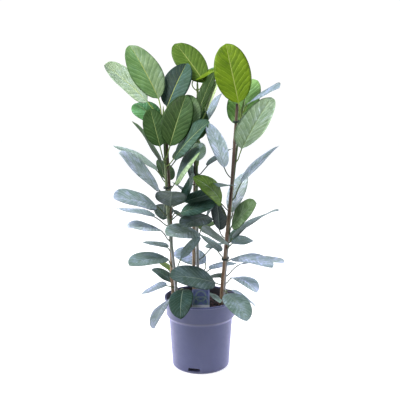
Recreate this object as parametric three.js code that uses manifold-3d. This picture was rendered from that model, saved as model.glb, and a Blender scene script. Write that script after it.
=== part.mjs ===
// A potted ficus: three tied shoots with large leathery leaves in a plastic grower's pot.
// Millimetres, +Z up. The origin is the centre of the pot's base; the front of the plant is -Y.
import * as THREE from 'three';
import { mergeVertices } from 'three/addons/utils/BufferGeometryUtils.js';
import Module from 'manifold-3d';

const wasm = await Module();
wasm.setup();

// ---------------------------------------------------------------- driving dimensions

// Pot
const rimDiameter = 210;
const potHeight = 207;
const wallThickness = 2;
const baseDiameter = 164;
const cornerRadius = 24;
const collarHeight = 51;
const collarStep = 10;
const wallTopDiameter = 183;
const lipHeight = 6;
const lipOverhang = 2.2;
const padDiameter = 76;
const channelWidth = 20;
const channelRise = 3;
const floorThickness = 2;
const drainSlots = 3;
const drainSlotWidth = 34;
const drainSlotHeight = 10;

// Soil
const headspace = 22;
const crown = 4;

// Fits
const gap = 0.4;

// Bamboo canes
const caneDiameter = 10.6;
const caneTipDiameter = 8.4;
const caneDepth = 120;
const caneNodeSpacing = 132;
const caneNodeBulge = 0.7;

// Stems
const stemDiameter = 10;
const stemTipDiameter = 5.6;
const stemDepth = 35;
const stemClearance = 0.8;
const rootFlare = 1.15;
const budLength = 26;

// Leaves
const leafScale = 1;
const widthToLength = 0.57;
const petioleDiameter = 3.4;
const bladeThickness = 1.2;
const keelDepth = 1.4;

// Plant label
const labelWidth = 49;
const labelHeight = 52;
const labelThickness = 1.2;
const labelLift = 12;
const labelLean = 8;
const stakeWidth = 12;
const stakeDepth = 60;
const labelInset = 6.4;

// Ties
const tieHeight = 6;
const tieThickness = 1.6;
const tieSlack = 1.2;

// ---------------------------------------------------------------- materials

const finish = (colour, roughness) =>
  new THREE.MeshStandardMaterial({ color: colour, roughness, metalness: 0 });
const potPlastic = finish(0x6d709c, 0.45);
const pottingSoil = finish(0x2a2320, 0.95);
const bamboo = finish(0xa9793f, 0.6);
const bark = finish(0x6f7468, 0.75);
const tiePlastic = finish(0x1f2a2c, 0.5);
const labelPlastic = finish(0x6c76a8, 0.4);
const youngLeaf = finish(0x7fa437, 0.4);
const greenLeaf = finish(0x46672f, 0.4);
const maturedLeaf = finish(0x5d7a70, 0.4);

// ---------------------------------------------------------------- shaping helpers

const radians = THREE.MathUtils.degToRad;
const vector = (x, y, z) => new THREE.Vector3(x, y, z);

// Unit vector from a compass heading (0 is +X, 90 is +Y) and a rise above the horizontal.
function direction(heading, rise) {
  const level = Math.cos(radians(rise));
  return vector(
    level * Math.cos(radians(heading)),
    level * Math.sin(radians(heading)),
    Math.sin(radians(rise)),
  );
}

// A closed skin over rings of equally many points, with a pole at each end.
function loft(rings, startPole, endPole) {
  const around = rings[0].length;
  const points = [startPole, ...rings.flat(), endPole];
  const last = points.length - 1;
  const at = (ring, k) => 1 + ring * around + (k % around);
  const faces = [];
  for (let k = 0; k < around; k += 1) {
    faces.push(0, at(0, k + 1), at(0, k));
    for (let ring = 0; ring < rings.length - 1; ring += 1) {
      faces.push(at(ring, k), at(ring, k + 1), at(ring + 1, k + 1));
      faces.push(at(ring, k), at(ring + 1, k + 1), at(ring + 1, k));
    }
    faces.push(last, at(rings.length - 1, k), at(rings.length - 1, k + 1));
  }
  const geometry = new THREE.BufferGeometry();
  const positions = points.flatMap((p) => [p.x, p.y, p.z]);
  geometry.setAttribute('position', new THREE.Float32BufferAttribute(positions, 3));
  geometry.setIndex(faces);
  return geometry;
}

// A round rod through centres, each with its own radius, cut square to the vertical.
function rod(centres, radii, sides) {
  const rings = centres.map((centre, i) => {
    const ring = [];
    for (let k = 0; k < sides; k += 1) {
      const angle = (2 * Math.PI * k) / sides;
      ring.push(vector(Math.cos(angle), Math.sin(angle), 0).multiplyScalar(radii[i]).add(centre));
    }
    return ring;
  });
  return loft(rings, centres[0].clone(), centres[centres.length - 1].clone());
}

// A turned body about the Z axis from a profile of [radius, height] pairs.
function turned(profile, sides) {
  const points = profile.map(([radius, height]) => new THREE.Vector2(radius, height));
  const geometry = new THREE.LatheGeometry(points, sides);
  geometry.rotateX(Math.PI / 2);
  return geometry;
}

// Points of an arc about [cx, cy], angles in degrees, both ends included.
function arc(cx, cy, radius, from, to, steps) {
  const points = [];
  for (let i = 0; i <= steps; i += 1) {
    const angle = radians(from + ((to - from) * i) / steps);
    points.push([cx + radius * Math.cos(angle), cy + radius * Math.sin(angle)]);
  }
  return points;
}

function toSolid(geometry) {
  const bare = geometry.clone();
  bare.deleteAttribute('normal');
  bare.deleteAttribute('uv');
  const merged = mergeVertices(bare, 1e-4);
  const vertProperties = new Float32Array(merged.attributes.position.array);
  const triVerts = new Uint32Array(merged.index.array);
  return new wasm.Manifold(new wasm.Mesh({ numProp: 3, vertProperties, triVerts }));
}

function toGeometry(solid) {
  const mesh = solid.getMesh();
  const geometry = new THREE.BufferGeometry();
  geometry.setAttribute('position', new THREE.Float32BufferAttribute(mesh.vertProperties, 3));
  geometry.setIndex(Array.from(mesh.triVerts));
  return geometry;
}

const plant = new THREE.Group();
const placed = [];

// Adds a named piece and remembers its solid, which later leaves have to clear.
function add(name, geometry, material) {
  const mesh = new THREE.Mesh(geometry, material);
  mesh.name = name;
  plant.add(mesh);
  geometry.computeBoundingBox();
  placed.push({ box: geometry.boundingBox.clone(), solid: toSolid(geometry) });
}

function clears(geometry) {
  geometry.computeBoundingBox();
  const near = placed.filter((piece) => piece.box.intersectsBox(geometry.boundingBox));
  if (near.length === 0) return true;
  const solid = toSolid(geometry);
  return near.every((piece) => solid.intersect(piece.solid).volume() < 1e-4);
}

// ---------------------------------------------------------------- pot

const rimRadius = rimDiameter / 2;
const baseRadius = baseDiameter / 2;
const wallTopRadius = wallTopDiameter / 2;
const collarTopRadius = rimRadius - lipOverhang;
const collarBottom = potHeight - collarHeight;
const collarBottomRadius = collarTopRadius - 3.3;
const floorTop = channelRise + floorThickness;

// Outline of the pot's inside, drawn in by an extra clearance and up to a given height.
function insideOutline(clearance, top) {
  const inset = wallThickness + clearance;
  const bottom = floorTop + clearance;
  const bend = cornerRadius - wallThickness;
  const cornerX = baseRadius - inset - bend;
  const collarSlope = (collarTopRadius - collarBottomRadius) / (collarHeight - lipHeight);
  const topRadius = collarBottomRadius + collarSlope * (top - collarBottom) - inset;
  return [
    [0, bottom],
    ...arc(cornerX, bottom + bend, bend, -90, 0, 3),
    [wallTopRadius - inset, collarBottom - collarStep],
    [collarBottomRadius - inset, collarBottom],
    [topRadius, top],
  ];
}

// Radius of the pot's inner wall at a height.
function insideRadius(z) {
  const outline = insideOutline(0, potHeight);
  const i = outline.findIndex(([, height]) => height > z);
  const [r0, z0] = outline[i - 1];
  const [r1, z1] = outline[i];
  return THREE.MathUtils.mapLinear(z, z0, z1, r0, r1);
}

function makePot() {
  const padRadius = padDiameter / 2;
  const footInner = padRadius + channelWidth + 2 * channelRise;
  const lipBottom = potHeight - lipHeight;
  const outside = [
    [0, 0],
    [padRadius, 0],
    [padRadius + channelRise, channelRise],
    [padRadius + channelRise + channelWidth, channelRise],
    [footInner, 0],
    ...arc(baseRadius - cornerRadius, cornerRadius, cornerRadius, -90, 0, 4),
    [wallTopRadius, collarBottom - collarStep],
    [collarBottomRadius, collarBottom],
    [collarTopRadius, lipBottom],
    [rimRadius, lipBottom + 1],
    [rimRadius, potHeight - 1],
    [rimRadius - 1, potHeight],
  ];
  const inside = insideOutline(0, potHeight).reverse();
  const shell = toSolid(turned([...outside, ...inside], 36));
  const slot = new THREE.BoxGeometry(cornerRadius, drainSlotWidth, drainSlotHeight);
  slot.translate(baseRadius - cornerRadius / 4, 0, floorTop + drainSlotHeight / 2 + 3);
  let pot = shell;
  for (let i = 0; i < drainSlots; i += 1) {
    const turn = radians(-104 + (360 * i) / drainSlots);
    pot = pot.subtract(toSolid(slot.clone().rotateZ(turn)));
  }
  return toGeometry(pot);
}

// ---------------------------------------------------------------- shoots

const soilTop = potHeight - headspace;
const soilRadius = insideOutline(gap, soilTop).at(-1)[0];

// Each shoot stands at a heading and a share of the soil's radius. Lean points are
// [right, back] in mm at a share of the cane's or stem's height above the soil.
const shoots = {
  left: {
    heading: 180,
    share: 0.835,
    caneHeight: 520,
    caneLean: [[0, 0, 0], [-3, 1, 0.5], [-12, 4, 0.88], [-17, 5, 1]],
    stemHeight: 545,
    stemLean: [[14, -14, 0], [11, -14, 0.11], [1, -12, 0.3], [-7, -10, 0.43],
      [-12, -9, 0.56], [-15, -8, 0.72], [-18, -7, 0.85], [-20, -4, 1]],
    tieHeights: [0.628],
  },
  middle: {
    heading: 114,
    share: 0.5,
    caneHeight: 560,
    caneLean: [[0, 0, 0], [0, 4, 0.3], [3, 9, 0.6], [8, 13, 1]],
    stemHeight: 617,
    stemLean: [[13, -8, 0], [11, -7, 0.2], [9, -5, 0.42], [9, -4, 0.62],
      [11, -3, 0.8], [12, -1, 0.93], [11, 0, 1]],
    tieHeights: [0.6],
  },
  right: {
    heading: 335,
    share: 0.63,
    caneHeight: 578,
    caneLean: [[0, 0, 0], [16, 0, 0.35], [27, 1, 0.55], [35, 1, 0.78], [43, 2, 1]],
    stemHeight: 571,
    stemLean: [[6, 11, 0], [13, 12, 0.18], [20, 12, 0.34], [28, 12, 0.52],
      [33, 12, 0.62], [40, 12, 0.74], [47, 12, 0.85], [54, 12, 0.94], [60, 12, 1]],
    tieHeights: [0.245, 0.925],
  },
};

// A smooth path above the soil, continued straight down into it by a depth.
function shootPath(shoot, lean, height) {
  const root = direction(shoot.heading, 0).multiplyScalar(shoot.share * soilRadius);
  const spread = soilRadius / 99;
  const knots = lean.map(([right, back, share]) =>
    vector(root.x + right * spread, root.y + back * spread, soilTop + share * height));
  return new THREE.CatmullRomCurve3(knots, false, 'centripetal');
}

// Point of a path at a height above the soil, found by halving.
function pointAtHeight(path, z) {
  let low = 0;
  let high = 1;
  for (let i = 0; i < 40; i += 1) {
    const middle = (low + high) / 2;
    if (path.getPoint(middle).z < z) low = middle;
    else high = middle;
  }
  return path.getPoint(low);
}

function caneRadius(share) {
  return THREE.MathUtils.lerp(caneDiameter, caneTipDiameter, share) / 2;
}

function stemRadius(share) {
  return THREE.MathUtils.lerp(stemDiameter, stemTipDiameter, share) / 2;
}

// Where a cane runs, from its foot in the narrower part of the pot: [centre, radius] pairs.
function caneLine(shoot) {
  const path = shootPath(shoot, shoot.caneLean, shoot.caneHeight);
  const footHeight = soilTop - caneDepth;
  const foot = path.getPoint(0).multiplyScalar(insideRadius(footHeight) / insideRadius(soilTop));
  const line = [[foot.setZ(footHeight), caneRadius(0)]];
  const top = shoot.caneHeight;
  for (let height = caneNodeSpacing * 0.6; height < top - 20; height += caneNodeSpacing) {
    for (const [offset, bulge] of [[-7, 0], [0, caneNodeBulge], [7, 0]]) {
      line.push([pointAtHeight(path, soilTop + height + offset), caneRadius(height / top) + bulge]);
    }
  }
  line.push([path.getPoint(1), caneRadius(1)]);
  return line;
}

// Centre of a cane at a height.
function caneCentre(shoot, z) {
  const centres = caneLine(shoot).map(([centre]) => centre);
  const next = centres.findIndex((centre) => centre.z > z);
  if (next < 1) return centres.at(next === 0 ? 0 : -1);
  const share = (z - centres[next - 1].z) / (centres[next].z - centres[next - 1].z);
  return centres[next - 1].clone().lerp(centres[next], share);
}

// Moves a point of the stem away from the cane until both fit side by side.
function besideCane(shoot, point, radius) {
  const away = point.clone().sub(caneCentre(shoot, point.z)).setZ(0);
  const room = caneRadius(0) + caneNodeBulge + radius + stemClearance;
  return point.addScaledVector(away.clone().normalize(), Math.max(0, room - away.length()));
}

// A bamboo cane: straight lengths between slightly swollen nodes, sawn off flat.
function makeCane(shoot, extra) {
  const line = caneLine(shoot);
  line[0][0].z -= extra;
  return rod(line.map(([centre]) => centre), line.map(([, radius]) => radius + extra), 10);
}

// The stem's path, kept clear of its cane.
function stemPath(shoot) {
  const path = shootPath(shoot, shoot.stemLean, shoot.stemHeight);
  const knots = path.points.map((knot, i) =>
    besideCane(shoot, knot, stemRadius(shoot.stemLean[i][2]) * rootFlare));
  return new THREE.CatmullRomCurve3(knots, false, 'centripetal');
}

// A stem: tapering, rooted in the soil, ending in the sheathed bud at its tip.
function makeStem(shoot, extra) {
  const path = stemPath(shoot);
  const footHeight = soilTop - stemDepth;
  const drift = caneCentre(shoot, footHeight).sub(caneCentre(shoot, soilTop));
  const foot = path.getPoint(0).add(drift).setZ(footHeight);
  const footRadius = stemRadius(0) * rootFlare;
  const centres = [besideCane(shoot, foot, footRadius).setZ(footHeight - extra)];
  const radii = [footRadius + extra];
  const steps = 11;
  for (let i = 0; i <= steps; i += 1) {
    const share = i / steps;
    centres.push(pointAtHeight(path, soilTop + share * shoot.stemHeight));
    radii.push(stemRadius(share) * (i === 0 ? rootFlare : 1) + extra);
  }
  const tip = path.getPoint(1);
  const lean = path.getTangent(1);
  for (const [rise, share] of [[0.3, 1.05], [0.7, 0.6], [1, 0.18]]) {
    centres.push(tip.clone().addScaledVector(lean, budLength * rise));
    radii.push(stemRadius(1) * share + extra);
  }
  return rod(centres, radii, 10);
}

// ---------------------------------------------------------------- label and soil

// A square tag with rounded corners on a pointed stake, leaning back a little.
function makeLabel(extra) {
  const half = labelWidth / 2 + extra;
  const stake = stakeWidth / 2 + extra;
  const top = labelLift + labelHeight + extra;
  const shape = new THREE.Shape();
  shape.moveTo(-half, labelLift - extra);
  shape.lineTo(-stake, labelLift - extra);
  shape.lineTo(-stake, -stakeDepth + stakeWidth);
  shape.lineTo(0, -stakeDepth - extra * 2);
  shape.lineTo(stake, -stakeDepth + stakeWidth);
  shape.lineTo(stake, labelLift - extra);
  shape.lineTo(half, labelLift - extra);
  shape.lineTo(half, top - 4);
  shape.absarc(half - 4, top - 4, 4, 0, Math.PI / 2, false);
  shape.absarc(-half + 4, top - 4, 4, Math.PI / 2, Math.PI, false);
  const depth = labelThickness + 2 * extra;
  const options = { depth, bevelEnabled: false, curveSegments: 3 };
  const geometry = new THREE.ExtrudeGeometry(shape, options);
  geometry.translate(0, 0, -depth / 2);
  geometry.rotateX(Math.PI / 2 - radians(labelLean));
  const stakeReach = stakeDepth * Math.sin(radians(labelLean));
  geometry.translate(0, stakeReach + labelInset - insideRadius(soilTop - stakeDepth), soilTop);
  return geometry;
}

function makeSoil() {
  const outline = insideOutline(gap, soilTop);
  const body = toSolid(turned([...outline, [soilRadius * 0.6, soilTop + crown * 0.75],
    [0, soilTop + crown]], 36));
  let soil = body;
  for (const shoot of Object.values(shoots)) {
    soil = soil.subtract(toSolid(makeCane(shoot, gap)));
    soil = soil.subtract(toSolid(makeStem(shoot, gap)));
  }
  soil = soil.subtract(toSolid(makeLabel(gap)));
  return toGeometry(soil);
}

// ---------------------------------------------------------------- ties

// A flat loop of soft plastic strap round one cane and its stem.
function makeTie(shoot, share) {
  const z = soilTop + share * shoot.stemHeight;
  const cane = pointAtHeight(shootPath(shoot, shoot.caneLean, shoot.caneHeight), z);
  const stem = pointAtHeight(stemPath(shoot), z);
  const across = stem.clone().sub(cane);
  const span = Math.hypot(across.x, across.y);
  const radius = Math.max(caneRadius(0) + caneNodeBulge, stemRadius(share)) + tieSlack;
  const stadium = (r) => {
    const path = new THREE.Shape();
    path.absarc(0, 0, r, Math.PI / 2, (3 * Math.PI) / 2, false);
    path.absarc(span, 0, r, -Math.PI / 2, Math.PI / 2, false);
    return path;
  };
  const outline = stadium(radius + tieThickness);
  outline.holes.push(stadium(radius));
  const options = { depth: tieHeight, bevelEnabled: false, curveSegments: 7 };
  const geometry = new THREE.ExtrudeGeometry(outline, options);
  geometry.translate(0, 0, -tieHeight / 2);
  geometry.rotateZ(Math.atan2(across.y, across.x));
  geometry.translate(cane.x, cane.y, z);
  return geometry;
}

// ---------------------------------------------------------------- leaves

// Share of the full half width at shares of the blade's length, from base to tip.
const bladeOutline = [[0.03, 0.3], [0.14, 0.7], [0.34, 0.98], [0.58, 1], [0.8, 0.78], [0.94, 0.4]];

// One leaf, grown as one piece: the petiole springs level from the stem, then bends into
// the midrib; the blade is folded a little along it and droops towards its upper side.
function makeLeaf(foot, footRadius, leaf, turn, lift, extra) {
  const [petioleHeading, petioleRise, petioleLength] = leaf.petiole;
  const [heading, rise, length] = leaf.blade;
  const size = leafScale;
  const outward = direction(petioleHeading + turn, 0);
  const base = direction(petioleHeading + turn, petioleRise + lift)
    .multiplyScalar(petioleLength * size).add(foot);
  const along = direction(heading + turn, rise + lift);
  const level = direction(heading + turn + 90, 0);
  const upright = along.clone().cross(level);
  const side = level.clone().applyAxisAngle(along, radians(leaf.roll));
  const normal = upright.clone().applyAxisAngle(along, radians(leaf.roll));
  const bladeLength = length * size;
  const halfWidth = (leaf.width ?? length * widthToLength) * size / 2;
  const arch = bladeLength * Math.tan(radians(leaf.droop) / 2) / 2;
  const spine = (t) => base.clone().addScaledVector(along, bladeLength * t)
    .addScaledVector(normal, arch * 2 * t * (1 - t));
  const spineDirection = (t) => along.clone().multiplyScalar(bladeLength)
    .addScaledVector(normal, arch * 2 * (1 - 2 * t)).normalize();

  const start = foot.clone().addScaledVector(outward, footRadius + gap);
  const entry = spineDirection(0);
  const reach = base.distanceTo(start);
  const petiole = new THREE.CubicBezierCurve3(
    start,
    start.clone().addScaledVector(outward, Math.min(7, reach * 0.35)),
    base.clone().addScaledVector(entry, -reach * 0.35),
    base,
  );
  const stations = [
    { at: start, facing: outward, thick: 1.25 },
    { at: petiole.getPoint(0.3), facing: petiole.getTangent(0.3), thick: 1 },
    { at: petiole.getPoint(0.62), facing: petiole.getTangent(0.62), thick: 1 },
    { at: base, facing: entry, thick: 1.05 },
  ];
  let across = side.clone();
  const petioleRings = [];
  for (const station of [...stations].reverse()) {
    across = across.addScaledVector(station.facing, -across.dot(station.facing)).normalize();
    const up = station.facing.clone().cross(across);
    const radius = (petioleDiameter / 2) * station.thick + extra;
    const ring = [];
    for (let k = 0; k < 8; k += 1) {
      const angle = (Math.PI * k) / 4;
      ring.push(station.at.clone().addScaledVector(across, radius * Math.cos(angle))
        .addScaledVector(up, radius * Math.sin(angle)));
    }
    petioleRings.unshift(ring);
  }
  const fold = Math.tan(radians(leaf.fold ?? 9));
  const skin = bladeThickness / 2 + extra;
  const bladeRings = bladeOutline.map(([t, share]) => {
    const facing = spineDirection(t);
    const up = facing.clone().cross(side);
    const half = halfWidth * share + extra;
    const keel = (keelDepth * (1 - t * 0.7)) + skin;
    const inner = half * 0.5 * fold;
    const edge = half * 0.75 * fold;
    const section = [[half, edge], [half / 2, inner + skin], [0, skin], [-half / 2, inner + skin],
      [-half, edge], [-half / 2, inner - skin], [0, -keel], [half / 2, inner - skin]];
    return section.map(([x, z]) => spine(t).addScaledVector(side, x).addScaledVector(up, z));
  });
  return loft([...petioleRings, ...bladeRings], start.clone(), spine(1));
}

// Turns to try, smallest first, until a leaf clears everything placed before it.
function* nudges() {
  yield [0, 0];
  for (let reach = 2; reach <= 40; reach += 2) {
    for (const [turn, lift] of [[1, 0], [-1, 0], [0, 1], [0, -1], [1, 1], [-1, -1], [1, -1], [-1, 1]]) {
      yield [turn * reach, lift * reach];
    }
  }
  for (let reach = 45; reach <= 180; reach += 5) {
    for (const lift of [0, 20, -20, 40, -40]) {
      yield [reach, lift];
      yield [-reach, lift];
    }
  }
}

// Leaves of each shoot, lowest first. Each row is where the leaf springs from (a share of
// the stem's height), petiole and blade as [heading, rise, length], then roll and droop,
// and the blade's width where it differs from the usual share of its length.
const leaves = {
  left: [
    [0.06, [239, -8, 40], [249, -26, 114], 35, 34],
    [0.075, [290, 22, 68], [267, -24, 118], 10, 36],
    [0.09, [152, 6, 32], [148, -24, 102], -15, 22],
    [0.13, [300, 66, 84], [16, 45, 80], -55, 8],
    [0.21, [192, 52, 33], [221, 2, 132], -15, 26],
    [0.35, [208, 46, 48], [225, 13, 120], -15, 18],
    [0.426, [176, 32, 49], [154, 6, 126], 5, 12],
    [0.455, [344, 34, 44], [348, 17, 107], 35, 16],
    [0.483, [202, 40, 45], [219, 17, 146], -30, 20],
    [0.495, [284, 38, 42], [275, 30, 126], -5, 14, 84],
    [0.583, [224, 38, 36], [213, 43, 165], -35, 10],
    [0.609, [316, 40, 48], [305, 40, 150], 60, 14],
    [0.657, [151, 45, 44], [153, 24, 156], 10, 12],
    [0.683, [148, 65, 42], [146, 49, 150], 25, 12],
    [0.74, [308, 34, 48], [319, 41, 160], 50, 16],
    [0.76, [252, 50, 64], [124, 63, 112], -25, 12],
    [0.775, [288, 41, 65], [43, 66, 149], 30, 14],
    [0.923, [122, 33, 37], [129, 23, 124], -25, 14],
    [0.95, [27, 76, 51], [43, 56, 140], 25, 16],
    [0.975, [156, 45, 70], [160, 38, 164], 55, 14],
    [0.995, [218, 72, 51], [153, 58, 170], -30, 14],
  ],
  middle: [
    [0.115, [59, 34, 52], [142, 9, 120], -25, 16],
    [0.285, [274, 52, 42], [230, 7, 134], -24, 18],
    [0.37, [331, 37, 46], [235, -2, 130], -16, 20],
    [0.465, [229, 40, 45], [273, 39, 112], 55, 10],
    [0.65, [274, 16, 72], [90, 36, 76], -10, 10],
    [0.78, [263, 37, 75], [121, 70, 86], -18, 12, 58],
    [0.817, [266, 40, 50], [10, 68, 136], 30, 12, 70],
    [0.83, [300, 42, 58], [342, 66, 106], 30, 12],
    [0.963, [340, 63, 44], [143, 46, 150], -38, 14, 80],
  ],
  right: [
    [0.08, [282, 3, 45], [296, -20, 122], 5, 30],
    [0.11, [35, 26, 30], [305, -7, 114], -5, 56],
    [0.105, [180, 12, 26], [206, 14, 150], -35, 22],
    [0.15, [19, 34, 56], [330, 11, 140], 0, 24],
    [0.231, [323, 24, 22], [323, 0, 136], 5, 30],
    [0.3, [275, 27, 37], [232, 26, 140], -30, 14],
    [0.325, [320, 42, 24], [27, 24, 166], -20, 22],
    [0.342, [154, 42, 35], [96, 46, 98], 32, 10],
    [0.368, [289, 48, 39], [309, 40, 126], 65, 12],
    [0.436, [63, 40, 30], [70, 43, 150], -28, 16, 72],
    [0.45, [226, 50, 58], [229, 38, 146], -80, 56, 54],
    [0.541, [340, 60, 58], [27, 39, 156], -15, 12],
    [0.646, [146, 43, 42], [130, 60, 143], 15, 12],
    [0.732, [317, 59, 43], [317, 55, 176], -15, 12],
    [0.87, [102, 38, 32], [59, 52, 160], 5, 14],
    [0.942, [250, 60, 49], [125, 69, 170], -35, 12],
    [0.97, [318, 50, 28], [303, 20, 150], 30, 12],
  ],
};

function leafMaterial(share) {
  if (share > 0.9) return youngLeaf;
  return share > 0.72 ? greenLeaf : maturedLeaf;
}

// ---------------------------------------------------------------- assembly

add('pot', makePot(), potPlastic);
add('soil', makeSoil(), pottingSoil);
add('plant_label', makeLabel(0), labelPlastic);

for (const [side, shoot] of Object.entries(shoots)) {
  add(`cane_${side}`, makeCane(shoot, 0), bamboo);
  add(`stem_${side}`, makeStem(shoot, 0), bark);
  shoot.tieHeights.forEach((share, i) => {
    const suffix = shoot.tieHeights.length > 1 ? `_${i + 1}` : '';
    add(`tie_${side}${suffix}`, makeTie(shoot, share), tiePlastic);
  });
}

// The topmost leaves take their places first, so that those below turn aside for them.
const foliage = Object.entries(leaves).flatMap(([side, rows]) =>
  rows.map(([share, petiole, blade, roll, droop, width], i) => {
    const name = `leaf_${side}_${String(i + 1).padStart(2, '0')}`;
    return { name, side, share, petiole, blade, roll, droop, width };
  }));
foliage.sort((a, b) => b.share - a.share);
for (const leaf of foliage) {
  const shoot = shoots[leaf.side];
  const path = stemPath(shoot);
  const foot = pointAtHeight(path, soilTop + leaf.share * shoot.stemHeight);
  const radius = stemRadius(leaf.share);
  for (const [turn, lift] of nudges()) {
    if (clears(makeLeaf(foot, radius, leaf, turn, lift, 0.3))) {
      add(leaf.name, makeLeaf(foot, radius, leaf, turn, lift, 0), leafMaterial(leaf.share));
      break;
    }
  }
}

export default plant;
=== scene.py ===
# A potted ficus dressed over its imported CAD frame. Metres, +Z up, front of the plant towards -Y.
import math
import random
from contextlib import contextmanager

import bmesh
import bpy
import numpy as np
from mathutils import Matrix, Vector, noise


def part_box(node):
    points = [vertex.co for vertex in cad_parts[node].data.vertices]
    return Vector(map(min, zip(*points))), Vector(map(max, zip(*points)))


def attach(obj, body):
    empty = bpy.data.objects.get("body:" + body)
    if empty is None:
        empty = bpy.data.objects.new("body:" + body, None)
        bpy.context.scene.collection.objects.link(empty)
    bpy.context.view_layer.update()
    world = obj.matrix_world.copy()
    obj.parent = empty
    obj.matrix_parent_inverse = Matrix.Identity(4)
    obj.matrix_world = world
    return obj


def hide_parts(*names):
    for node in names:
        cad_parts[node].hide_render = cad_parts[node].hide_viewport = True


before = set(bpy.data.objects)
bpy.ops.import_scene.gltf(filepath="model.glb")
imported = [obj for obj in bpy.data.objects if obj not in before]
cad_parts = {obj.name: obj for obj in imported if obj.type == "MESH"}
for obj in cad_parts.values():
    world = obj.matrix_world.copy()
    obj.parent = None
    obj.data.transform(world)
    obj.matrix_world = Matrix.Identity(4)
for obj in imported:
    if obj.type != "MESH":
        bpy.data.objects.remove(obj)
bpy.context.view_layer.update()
scene = bpy.context.scene
mergeReach = 1e-5
print("frame loaded:", len(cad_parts), "nodes")


# ---- small helpers

def deselectAll():
    bpy.ops.object.select_all(action="DESELECT")


def activate(piece):
    deselectAll()
    piece.select_set(True)
    bpy.context.view_layer.objects.active = piece


def applyModifiers(piece):
    activate(piece)
    for modifier in list(piece.modifiers):
        bpy.ops.object.modifier_apply(modifier=modifier.name)


def applyPlace(piece):
    activate(piece)
    bpy.ops.object.transform_apply(location=True, rotation=True, scale=True)


# A block of edit-mode steps on the whole mesh. A closed form has its normals turned outwards last.
@contextmanager
def editing(piece, closed=True):
    activate(piece)
    bpy.ops.object.mode_set(mode="EDIT")
    bpy.ops.mesh.select_all(action="SELECT")
    yield
    if closed:
        bpy.ops.mesh.select_all(action="SELECT")
        bpy.ops.mesh.normals_make_consistent(inside=False)
    bpy.ops.object.mode_set(mode="OBJECT")


def softenEdges(piece, width, segments, smoothAngle):
    bevel = piece.modifiers.new("softEdge", "BEVEL")
    bevel.width, bevel.segments, bevel.angle_limit = width, segments, math.radians(50)
    applyModifiers(piece)
    smoothShade(piece, smoothAngle)


def smoothShade(piece, angle=40):
    activate(piece)
    bpy.ops.object.shade_smooth_by_angle(angle=math.radians(angle))


def dress(piece, name, slot, material, *nodes):
    piece.name = name
    piece.data.name = name
    piece.data.materials.clear()
    piece.data.materials.append(material)
    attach(piece, "root")
    if nodes:
        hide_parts(*nodes)
    return piece


def meshFrom(name, points, faces=(), edges=()):
    mesh = bpy.data.meshes.new(name)
    mesh.from_pydata([tuple(p) for p in points], edges, faces)
    mesh.update()
    piece = bpy.data.objects.new(name, mesh)
    scene.collection.objects.link(piece)
    return piece


def mergedCopy(nodeName):
    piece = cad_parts[nodeName].copy()
    piece.data = piece.data.copy()
    piece.parent = None
    for key in list(piece.keys()):
        del piece[key]
    scene.collection.objects.link(piece)
    with editing(piece, closed=False):
        bpy.ops.mesh.remove_doubles(threshold=mergeReach)
    return piece


def discard(piece):
    mesh = piece.data
    bpy.data.objects.remove(piece)
    bpy.data.meshes.remove(mesh)


def lerp(a, b, share):
    return a + (b - a) * share


def smoothStep(low, high, x):
    t = min(1, max(0, (x - low) / (high - low)))
    return t * t * (3 - 2 * t)


# Smooth curve through values at knots, read at one place.
def throughKnots(knots, values, at):
    last = len(knots) - 1
    i = min(max(int(np.searchsorted(knots, at)) - 1, 0), last - 1)

    def slope(j):
        a, b = max(j - 1, 0), min(j + 1, last)
        return (values[b] - values[a]) / (knots[b] - knots[a])

    span = knots[i + 1] - knots[i]
    t = min(1, max(0, (at - knots[i]) / span))
    h1 = 2 * t ** 3 - 3 * t ** 2 + 1
    h2 = t ** 3 - 2 * t ** 2 + t
    h3 = 3 * t ** 2 - 2 * t ** 3
    h4 = t ** 3 - t ** 2
    return (values[i] * h1 + slope(i) * (span * h2)
            + values[i + 1] * h3 + slope(i + 1) * (span * h4))


# ---- material helpers

def put(tree, node, socket, value):
    target = node.inputs[socket]
    if isinstance(value, bpy.types.NodeSocket):
        tree.links.new(value, target)
    elif isinstance(value, tuple) and len(value) == 3 and target.type == "RGBA":
        target.default_value = (*value, 1)
    else:
        target.default_value = value


def addNode(tree, kind, inputs=None, **settings):
    node = tree.nodes.new(kind)
    for key, value in settings.items():
        setattr(node, key, value)
    for socket, value in (inputs or {}).items():
        put(tree, node, socket, value)
    return node


def calc(tree, operation, a, b=0.0, c=0.0):
    node = addNode(tree, "ShaderNodeMath", operation=operation)
    for i, value in enumerate((a, b, c)):
        put(tree, node, i, value)
    return node.outputs[0]


def stepBetween(tree, value, low, high, first=0.0, last=1.0):
    node = addNode(tree, "ShaderNodeMapRange", interpolation_type="SMOOTHSTEP",
                   inputs={"Value": value, "From Min": low, "From Max": high,
                           "To Min": first, "To Max": last})
    return node.outputs[0]


def mixColour(tree, share, a, b, blend="MIX"):
    node = addNode(tree, "ShaderNodeMix", data_type="RGBA", blend_type=blend)
    put(tree, node, 0, share)
    put(tree, node, 6, a)
    put(tree, node, 7, b)
    return node.outputs[2]


def noiseOf(tree, vector, scale, detail=3.0, roughness=0.55):
    node = addNode(tree, "ShaderNodeTexNoise", inputs={
        "Vector": vector, "Scale": scale, "Detail": detail, "Roughness": roughness})
    return node.outputs["Fac"]


def objectPlace(tree, scale=(1, 1, 1), shift=(0, 0, 0)):
    node = addNode(tree, "ShaderNodeMapping", inputs={
        "Vector": objectPoint(tree), "Scale": scale, "Location": shift})
    return node.outputs["Vector"]


def objectPoint(tree):
    return addNode(tree, "ShaderNodeTexCoord").outputs["Object"]


def splitOf(tree, vector):
    return addNode(tree, "ShaderNodeSeparateXYZ", inputs={0: vector}).outputs


def joinOf(tree, x, y, z=0.0):
    return addNode(tree, "ShaderNodeCombineXYZ", inputs={0: x, 1: y, 2: z}).outputs[0]


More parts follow.
